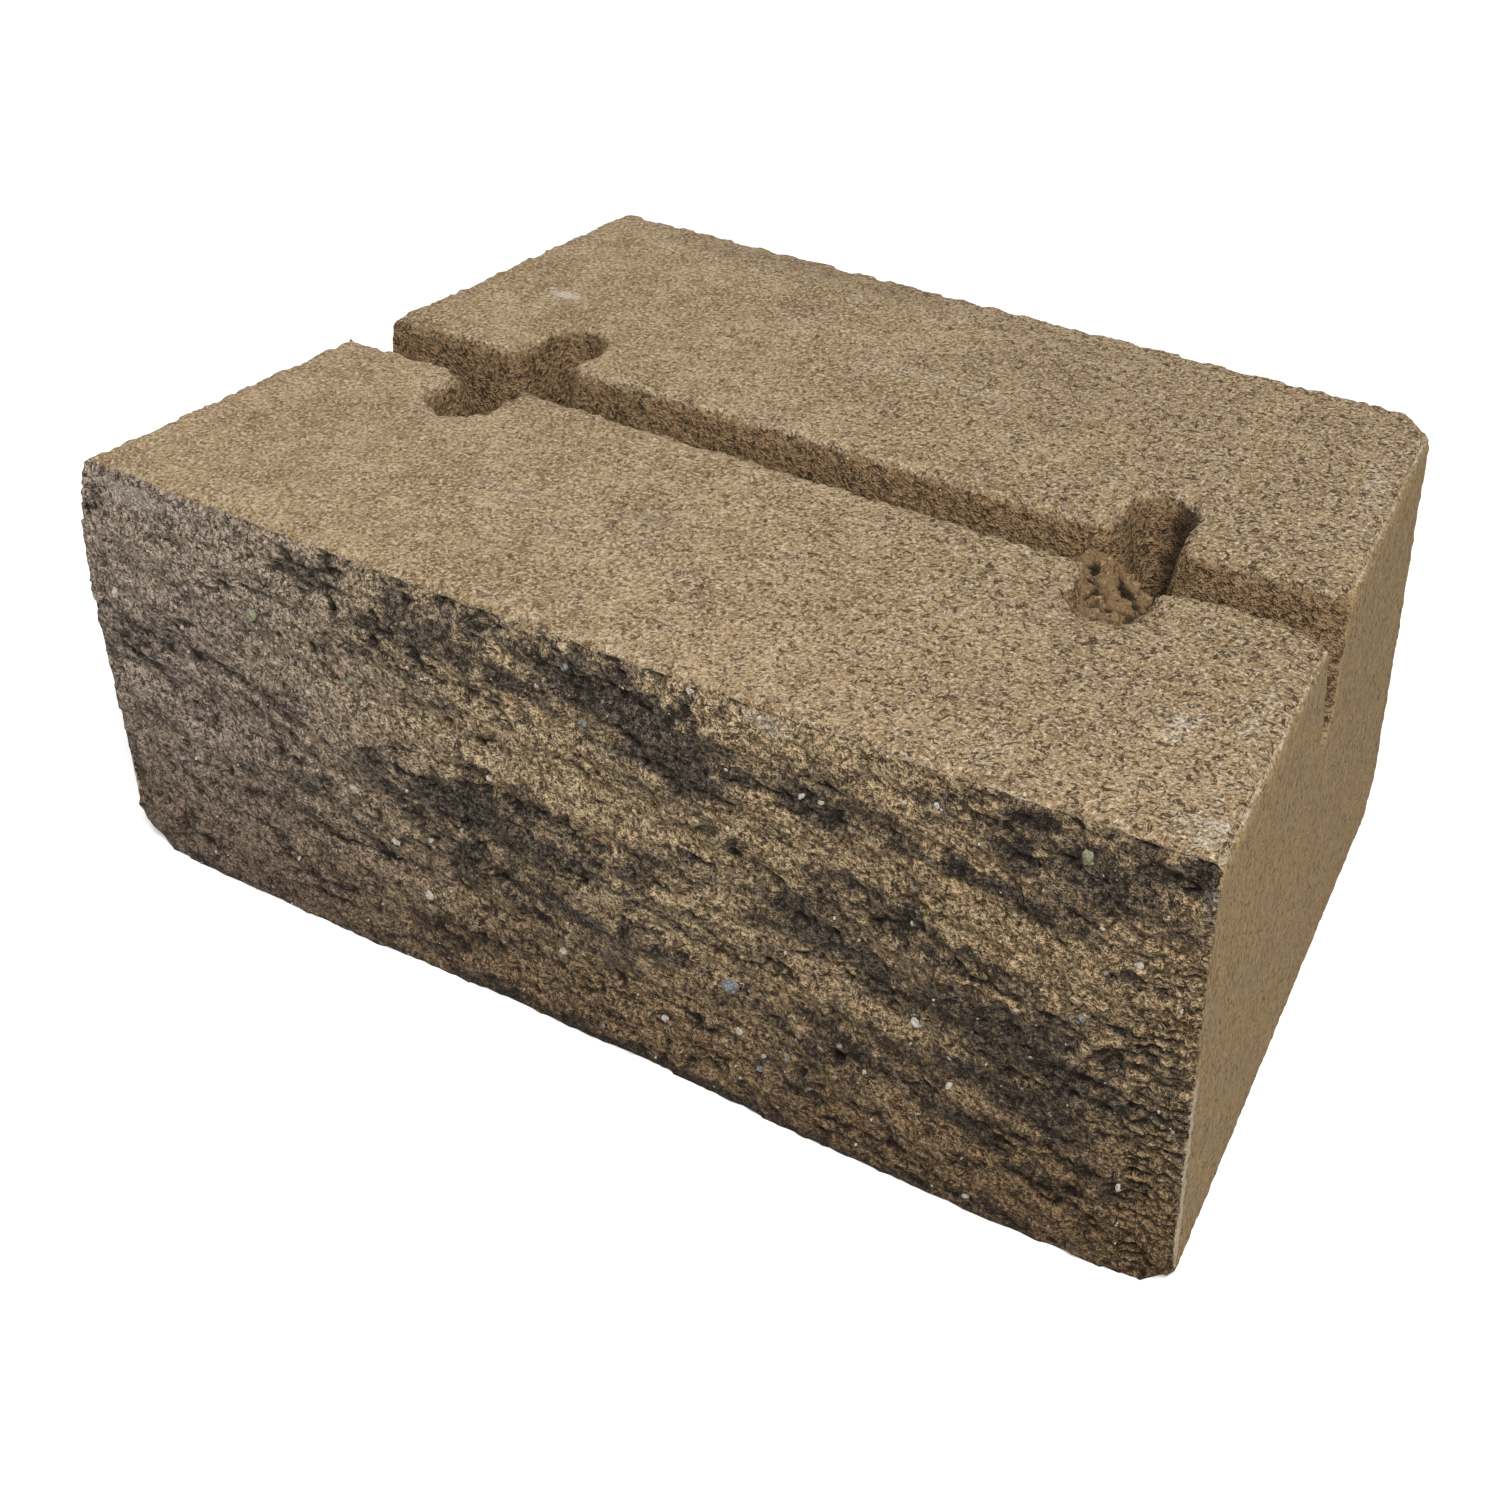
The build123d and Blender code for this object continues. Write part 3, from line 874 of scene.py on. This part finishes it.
def chip_tree(finish):
    """Put a low ball on each random point, then turn, stretch, sink and roughen it."""
    tree, ins = open_tree("Scatter " + finish.name, CHIPS)
    weight = put(tree, "GeometryNodeInputNamedAttribute", {"Name": ins["Weight"]}, "Attribute")
    density = put(tree, "ShaderNodeMath", {0: weight, 1: ins["Density"]}, 0,
                  operation="MULTIPLY")
    points = put(tree, "GeometryNodeDistributePointsOnFaces", {
        "Mesh": ins["Geometry"], "Density": density, "Seed": ins["Seed"]})
    draw = put(tree, "FunctionNodeRandomValue", {2: 0.0, 3: 1.0, "Seed": ins["Seed"]}, 1)
    small = put(tree, "ShaderNodeMath", {0: draw, 1: 3.0}, 0, operation="POWER")
    size = put(tree, "ShaderNodeMapRange", {0: small, 3: ins["Smallest"], 4: ins["Largest"]}, 0)
    drop = put(tree, "ShaderNodeMath", {0: size, 1: ins["Sink"]}, 0, operation="MULTIPLY")
    drop = put(tree, "ShaderNodeMath", {0: drop, 1: -1.0}, 0, operation="MULTIPLY")
    drop = put(tree, "ShaderNodeVectorMath", {0: points.outputs["Normal"], "Scale": drop}, 0,
               operation="SCALE")
    stretch = put(tree, "FunctionNodeRandomValue", {
        0: CHIP_LEAST, 1: CHIP_MOST, "Seed": STRETCH_SEED}, 0, data_type="FLOAT_VECTOR")
    stretch = put(tree, "ShaderNodeVectorMath", {0: stretch, "Scale": size}, 0,
                  operation="SCALE")
    turn = put(tree, "FunctionNodeRandomValue", {
        0: (0.0, 0.0, 0.0), 1: (math.tau,) * 3, "Seed": TURN_SEED}, 0,
        data_type="FLOAT_VECTOR")
    sunk = put(tree, "GeometryNodeSetPosition", {
        "Geometry": points.outputs["Points"], "Offset": drop}, 0)
    ball = put(tree, "GeometryNodeMeshIcoSphere", {"Radius": 0.5, "Subdivisions": ins["Balls"]},
               0)
    lumps = put(tree, "GeometryNodeInstanceOnPoints", {
        "Points": sunk, "Instance": ball, "Rotation": turn, "Scale": stretch}, 0)
    shade = put(tree, "FunctionNodeRandomValue", {2: 0.0, 3: 1.0, "Seed": TONE_SEED}, 1)
    lumps = put(tree, "GeometryNodeStoreNamedAttribute", {
        "Geometry": lumps, "Name": "chip_tone", "Value": shade}, 0,
        data_type="FLOAT", domain="INSTANCE")
    # The balls are made real here, so that each of their corners can be moved by itself.
    lumps = put(tree, "GeometryNodeRealizeInstances", {0: lumps}, 0)
    where = put(tree, "GeometryNodeInputPosition", result=0)
    shake = put(tree, "ShaderNodeTexNoise", {
        "Vector": where, "Scale": 1 / CHIP_DENT, "Detail": 1.0}, "Color")
    shake = put(tree, "ShaderNodeVectorMath", {0: shake, 1: (0.5, 0.5, 0.5)}, 0,
                operation="SUBTRACT")
    reach = put(tree, "ShaderNodeMath", {0: ins["Largest"], 1: ins["Roughness"]}, 0,
                operation="MULTIPLY")
    shake = put(tree, "ShaderNodeVectorMath", {0: shake, "Scale": reach}, 0, operation="SCALE")
    target = put(tree, "ShaderNodeVectorMath", {0: where, 1: shake}, 0, operation="ADD")
    lumps = put(tree, "GeometryNodeSetPosition", {
        "Geometry": lumps, "Position": boxed(tree, ins, target)}, 0)
    close_tree(tree, lumps, finish)
    return tree


# %% Scatter the chips and the grit
def scatter(name, source, finish, **values):
    """A new piece of broken lumps, scattered over another piece by one of its weights."""
    piece = new_object(name, source.data.copy())
    run_tree(piece, chip_tree(finish), values)
    keep_in_box(piece.data)
    one_finish(piece.data, finish)
    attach(piece, "root")
    print(name, "has", len(piece.data.polygons), "faces")


scatter("face_chips", block, chip_material("crushed_stone", "#6F655A", "#CFC7BA", "#E6E0D5"),
        Density=9000.0)
scatter("edge_grit", block, chip_material("loose_sand_grit", "#8F7A5C", "#CDBE9F", "#E2D8C2"),
        Density=30000.0, Smallest=0.7 * MM, Largest=1.9 * MM, Sink=0.25, Weight="arris", Seed=4)

# %% [markdown]
# ## The heap in the pocket
# The crumbs lie on a mound that fills the pocket's front end and runs on across the groove.
# The mound is a leaning egg, because a heap of wet crumbs has no corners, and a tree like
# the block's own breaks its skin into lumps. Only its top shows: the rest is in the solid.

# %% Mound under the crumbs
MOUND_PLACE = Vector((HEAP_X - 9.5 * MM, HEAP_Y + 15.5 * MM, TOP_Z - 20.5 * MM))
MOUND_RADII = (16.5 * MM, 34.0 * MM, 16.0 * MM)
MOUND_LEAN = math.radians(-4)
MOUND_TURN = math.radians(32)
MOUND_LUMPS = {
    "Crumb Size": 6.0 * MM, "Crumb Height": 6.5 * MM,
    "Lump Size": 9.0 * MM, "Lump Height": 5.0 * MM,
    "Fine Size": 2.6 * MM, "Fine Height": 5.0 * MM,
}


def mound_tree(finish):
    """Break the skin of the mound into crumbs, and store how deep its hollows are."""
    tree, ins = open_tree("Break the mound", MOUND_LUMPS)
    where = put(tree, "GeometryNodeInputPosition", result=0)
    normal = put(tree, "GeometryNodeInputNormal", result=0)
    crumb = crumb_skin(tree, ins, where)
    fine = relief_layer(tree, ins, "Fine", where, 2.0, 0.0)
    rough = put(tree, "ShaderNodeMath", {0: crumb, 1: ins["Crumb Height"], 2: fine}, 0,
                operation="MULTIPLY_ADD")
    hollow = put(tree, "ShaderNodeMath", {0: rough, 1: -1 / MM}, 0, operation="MULTIPLY")
    total = relief_layer(tree, ins, "Lump", where, 2.0, rough)
    push = put(tree, "ShaderNodeVectorMath", {0: normal, "Scale": total}, 0, operation="SCALE")
    skin = put(tree, "GeometryNodeStoreNamedAttribute", {
        "Geometry": ins["Geometry"], "Name": "hollow", "Value": hollow}, 0,
        data_type="FLOAT", domain="POINT")
    skin = put(tree, "GeometryNodeSetPosition", {"Geometry": skin, "Offset": push}, 0)
    close_tree(tree, skin, finish)
    return tree


# %% Make the mound and scatter its crumbs
MOUND_FACING = (0.1, 0.5)

mound_mesh = bpy.data.meshes.new("pocket_mound")
egg = bmesh.new()
bmesh.ops.create_icosphere(egg, subdivisions=6, radius=1.0, matrix=(
    Matrix.Translation(MOUND_PLACE) @ Matrix.Rotation(MOUND_TURN, 4, "Z")
    @ Matrix.Rotation(MOUND_LEAN, 4, "X") @ Matrix.Diagonal((*MOUND_RADII, 1.0))))
egg.to_mesh(mound_mesh)
egg.free()
mound = new_object("pocket_mound", mound_mesh)
crumb_finish = chip_material("set_concrete_crumbs", "#7C6345", "#AA8D69", "#C4AA84")
run_tree(mound, mound_tree(crumb_finish), {})
one_finish(mound.data, crumb_finish)
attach(mound, "root")
print("mound:", len(mound.data.polygons), "faces")
write_weight(mound.data, "heap", smooth(*MOUND_FACING, read_points(mound.data)[1][:, 2]))
scatter("pocket_crumbs", mound, crumb_finish, Density=120000.0, Smallest=0.9 * MM,
        Largest=3.6 * MM, Sink=0.15, Weight="heap", Seed=2, Roughness=0.3)

# %% [markdown]
# ## The larger stones that the break laid bare
# A few stones on the front are big enough to know by sight. Each is set down by its place
# on the face, its size and its kind, and a ray from in front finds where it meets the skin.
# Each is a ball with its corners moved at random, sunk by half. Scattering can't do this,
# because the eye would look for just these stones in just these places.

# %% Larger stones on the broken front
# x, z and size in mm, and the kind of stone
STONES = [
    (-192, 107, 4.2, "white"), (-156, 121, 2.6, "white"), (-141, 103, 1.8, "slate"),
    (-104, 100, 3.0, "white"), (-108, 91, 2.2, "slate"), (-91, 66, 4.2, "white"),
    (-171, 46, 2.2, "slate"), (-76, 50, 3.8, "white"), (-61, 56, 2.2, "white"),
    (-64, 32, 3.4, "white"), (-12, 134, 2.2, "white"), (-32, 93, 3.0, "white"),
    (-17, 110, 2.5, "green"), (41, 149, 3.2, "white"), (-2, 143, 3.0, "slate"),
    (4, 126, 3.2, "slate"), (55, 48, 6.0, "slate"), (-8, 34, 4.0, "white"),
    (58, 31, 3.0, "white"), (30, 23, 3.4, "white"), (66, 20, 4.0, "slate"),
    (119, 63, 3.8, "white"), (123, 143, 2.4, "white"), (80, 129, 2.4, "white"),
    (131, 45, 3.0, "white"), (167, 142, 4.6, "green"), (171, 91, 3.2, "slate"),
    (185, 115, 3.0, "white"), (139, 6, 3.6, "white"), (186, 33, 3.0, "white"),
    (103, 37, 2.2, "white"), (-126, 121, 5.0, "green"), (-84, 112, 5.0, "green"),
]
KINDS = {"white": 1.0, "slate": 0.35, "green": 0.0}
print("stones set down:", len(STONES))

# %% Make the stones
RAY_START = cad_low.y - 50.0 * MM
# Shares of a stone's size: its width, thickness and height, and how far a corner moves
STONE_WIDTH, STONE_THICKNESS, STONE_HEIGHT = (0.8, 1.1), 0.6, (0.6, 0.9)
STONE_DENT = 0.09
STONE_SEED = 12


def stone_material():
    # River gravel broken across: quartz is near white, slate blue-grey, and one kind green.
    material, tree = new_material("broken_gravel")
    mix = sand(tree, 1.4 * MM, "kind")
    base = blend(tree, mix.kind, 0.1, 0.3, "#8A8A68", "#77797D")
    base = blend(tree, mix.kind, 0.5, 0.9, base, "#C2BBAF")
    base = blend(tree, mix.dust, 0.4, 0.8, base, "#DDD8CF", 0.35)
    close_concrete(tree, base, mix.crack, mix.grain, mix.dust, 1.0 * MM)
    return material


def laid_bare(stones):
    """One mesh of broken stones, each where a ray from in front meets the block."""
    hits = BVHTree.FromObject(block, bpy.context.evaluated_depsgraph_get())
    dice = np.random.default_rng(STONE_SEED)
    work = bmesh.new()
    layer = work.verts.layers.float.new("kind")
    for stone_x, stone_z, size, kind in stones:
        start = Vector((stone_x * MM, RAY_START, stone_z * MM))
        spot = hits.ray_cast(start, Vector((0, 1, 0)))[0]
        if spot is None:
            continue
        turn = Matrix.Rotation(dice.uniform(0, math.tau), 4, "Y")
        stretch = Matrix.Diagonal((size * dice.uniform(*STONE_WIDTH), size * STONE_THICKNESS,
                                   size * dice.uniform(*STONE_HEIGHT), 1.0))
        place = Matrix.Translation(spot) @ turn @ stretch @ Matrix.Scale(MM, 4)
        made = bmesh.ops.create_icosphere(work, subdivisions=2, radius=0.5, matrix=place)
        for corner in made["verts"]:
            corner.co += Vector(dice.uniform(-STONE_DENT, STONE_DENT, 3)) * size * MM
            corner[layer] = KINDS[kind]
    mesh = bpy.data.meshes.new("bare_stones")
    work.to_mesh(mesh)
    work.free()
    return mesh


stones = new_object("bare_stones", laid_bare(STONES))
keep_in_box(stones.data)
stones.data.materials.append(stone_material())
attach(stones, "root")
print("bare stones:", len(stones.data.polygons), "faces")

# %% [markdown]
# ## Floor and light
# A pale floor, a soft light from above and an even world keep the colours as written. The
# floor looks pale only to the camera: to the block it is a plain mid grey, so that it
# doesn't light the block from below.

# %% Floor
FLOOR_SIZE = 12.0
FLOOR_LIFT = 0.3


def seen_rays(tree):
    """1 for what the camera sees, straight or by glass and metal, and 0 for other light."""
    rays = put(tree, "ShaderNodeLightPath").outputs
    seen = put(tree, "ShaderNodeMath", {0: rays["Is Camera Ray"], 1: rays["Is Glossy Ray"]}, 0,
               operation="MAXIMUM")
    return put(tree, "ShaderNodeMath", {0: seen, 1: rays["Is Transmission Ray"]}, 0,
               operation="MAXIMUM")


def pale_floor():
    """A wide square, mid grey to the block and white with a soft shadow to the camera."""
    material, tree = new_material("pale_studio_floor")
    seen = seen_rays(tree)
    tint = put(tree, "ShaderNodeMix", {0: seen, 6: "#B4B2AE", 7: "#FFFFFF"}, 2,
               data_type="RGBA")
    plain = put(tree, "ShaderNodeBsdfDiffuse", {"Color": tint}, 0)
    lift = put(tree, "ShaderNodeMapRange", {0: seen, 3: 0.0, 4: FLOOR_LIFT}, 0)
    glow = put(tree, "ShaderNodeEmission", {"Color": "#FFFFFF", "Strength": lift}, 0)
    white = put(tree, "ShaderNodeAddShader", {0: plain, 1: glow}, 0)
    put(tree, "ShaderNodeOutputMaterial", {"Surface": white})
    half = FLOOR_SIZE / 2
    corners = [(-half, -half, 0), (half, -half, 0), (half, half, 0), (-half, half, 0)]
    mesh = bpy.data.meshes.new("studio_floor")
    mesh.from_pydata(corners, [], [(0, 1, 2, 3)])
    mesh.materials.append(material)
    return new_object("studio_floor", mesh)


pale_floor()
print("floor:", FLOOR_SIZE, "m wide")

# %% Light
scene = bpy.context.scene
scene.view_settings.view_transform = "Standard"
SKY_STRENGTH = 0.52
LAMP_PLACE, LAMP_AIM = Vector((0.55, -0.7, 1.4)), Vector((0.0, 0.0, 0.08))
LAMP_SIZE = 0.5
LAMP_WATTS = 19.0


def studio_world():
    """An even sky for the block, which the camera sees as white."""
    world = bpy.data.worlds.new("studio")
    world.use_nodes = True
    tree = world.node_tree
    tree.nodes.clear()
    seen = seen_rays(tree)
    power = put(tree, "ShaderNodeMapRange", {0: seen, 3: SKY_STRENGTH, 4: 1.0}, 0)
    sky = put(tree, "ShaderNodeBackground", {"Color": "#FFFFFF", "Strength": power}, 0)
    put(tree, "ShaderNodeOutputWorld", {"Surface": sky})
    return world


def soft_box(name, place, aim, size, watts):
    """A square lamp that points at one spot."""
    lamp = bpy.data.lights.new(name, "AREA")
    lamp.shape = "SQUARE"
    lamp.size = size
    lamp.energy = watts
    holder = new_object(name, lamp)
    holder.location = place
    holder.rotation_euler = (aim - place).to_track_quat("-Z", "Y").to_euler()


scene.world = studio_world()
soft_box("sky_panel", LAMP_PLACE, LAMP_AIM, LAMP_SIZE, LAMP_WATTS)
print("light: a sky at", SKY_STRENGTH, "and a lamp of", LAMP_WATTS, "W")

# %% [markdown]
# ## Camera
# The lens, the distance and the angles were solved from the block's corners and edges in
# the photograph, so the camera is set by its bearing round the block, its height angle, a
# small tilt of the horizon and a small shift sideways and up.

# %% Camera
BEARING, HEIGHT_ANGLE, TILT = [math.radians(a) for a in (34.07, 36.08, -1.39)]
DISTANCE = 828.7 * MM
SIDEWAYS, UPWARDS = -23.2 * MM, -37.3 * MM
LOOKED_AT = Vector((0.0, 3.0 * MM, 76.0 * MM))
SENSOR_MM = 36.0
FOCAL_PIXELS, FRAME_PIXELS = 2396.9, 1500

back = Vector((
    math.sin(BEARING) * math.cos(HEIGHT_ANGLE),
    -math.cos(BEARING) * math.cos(HEIGHT_ANGLE),
    math.sin(HEIGHT_ANGLE),
))
level = Vector((math.cos(BEARING), math.sin(BEARING), 0.0))
upright = back.cross(level)
right = math.cos(TILT) * level + math.sin(TILT) * upright
up = -math.sin(TILT) * level + math.cos(TILT) * upright
eye = LOOKED_AT + back * DISTANCE + right * SIDEWAYS + up * UPWARDS
camera_data = bpy.data.cameras.new("camera")
camera_data.sensor_width = SENSOR_MM
camera_data.lens = FOCAL_PIXELS * SENSOR_MM / FRAME_PIXELS
camera = new_object("camera", camera_data)
turn = Matrix((right, up, back)).transposed().to_4x4()
camera.matrix_world = Matrix.Translation(eye) @ turn
scene.camera = camera
print("camera:", round(camera_data.lens, 1), "mm lens at", tuple(round(v, 3) for v in eye))
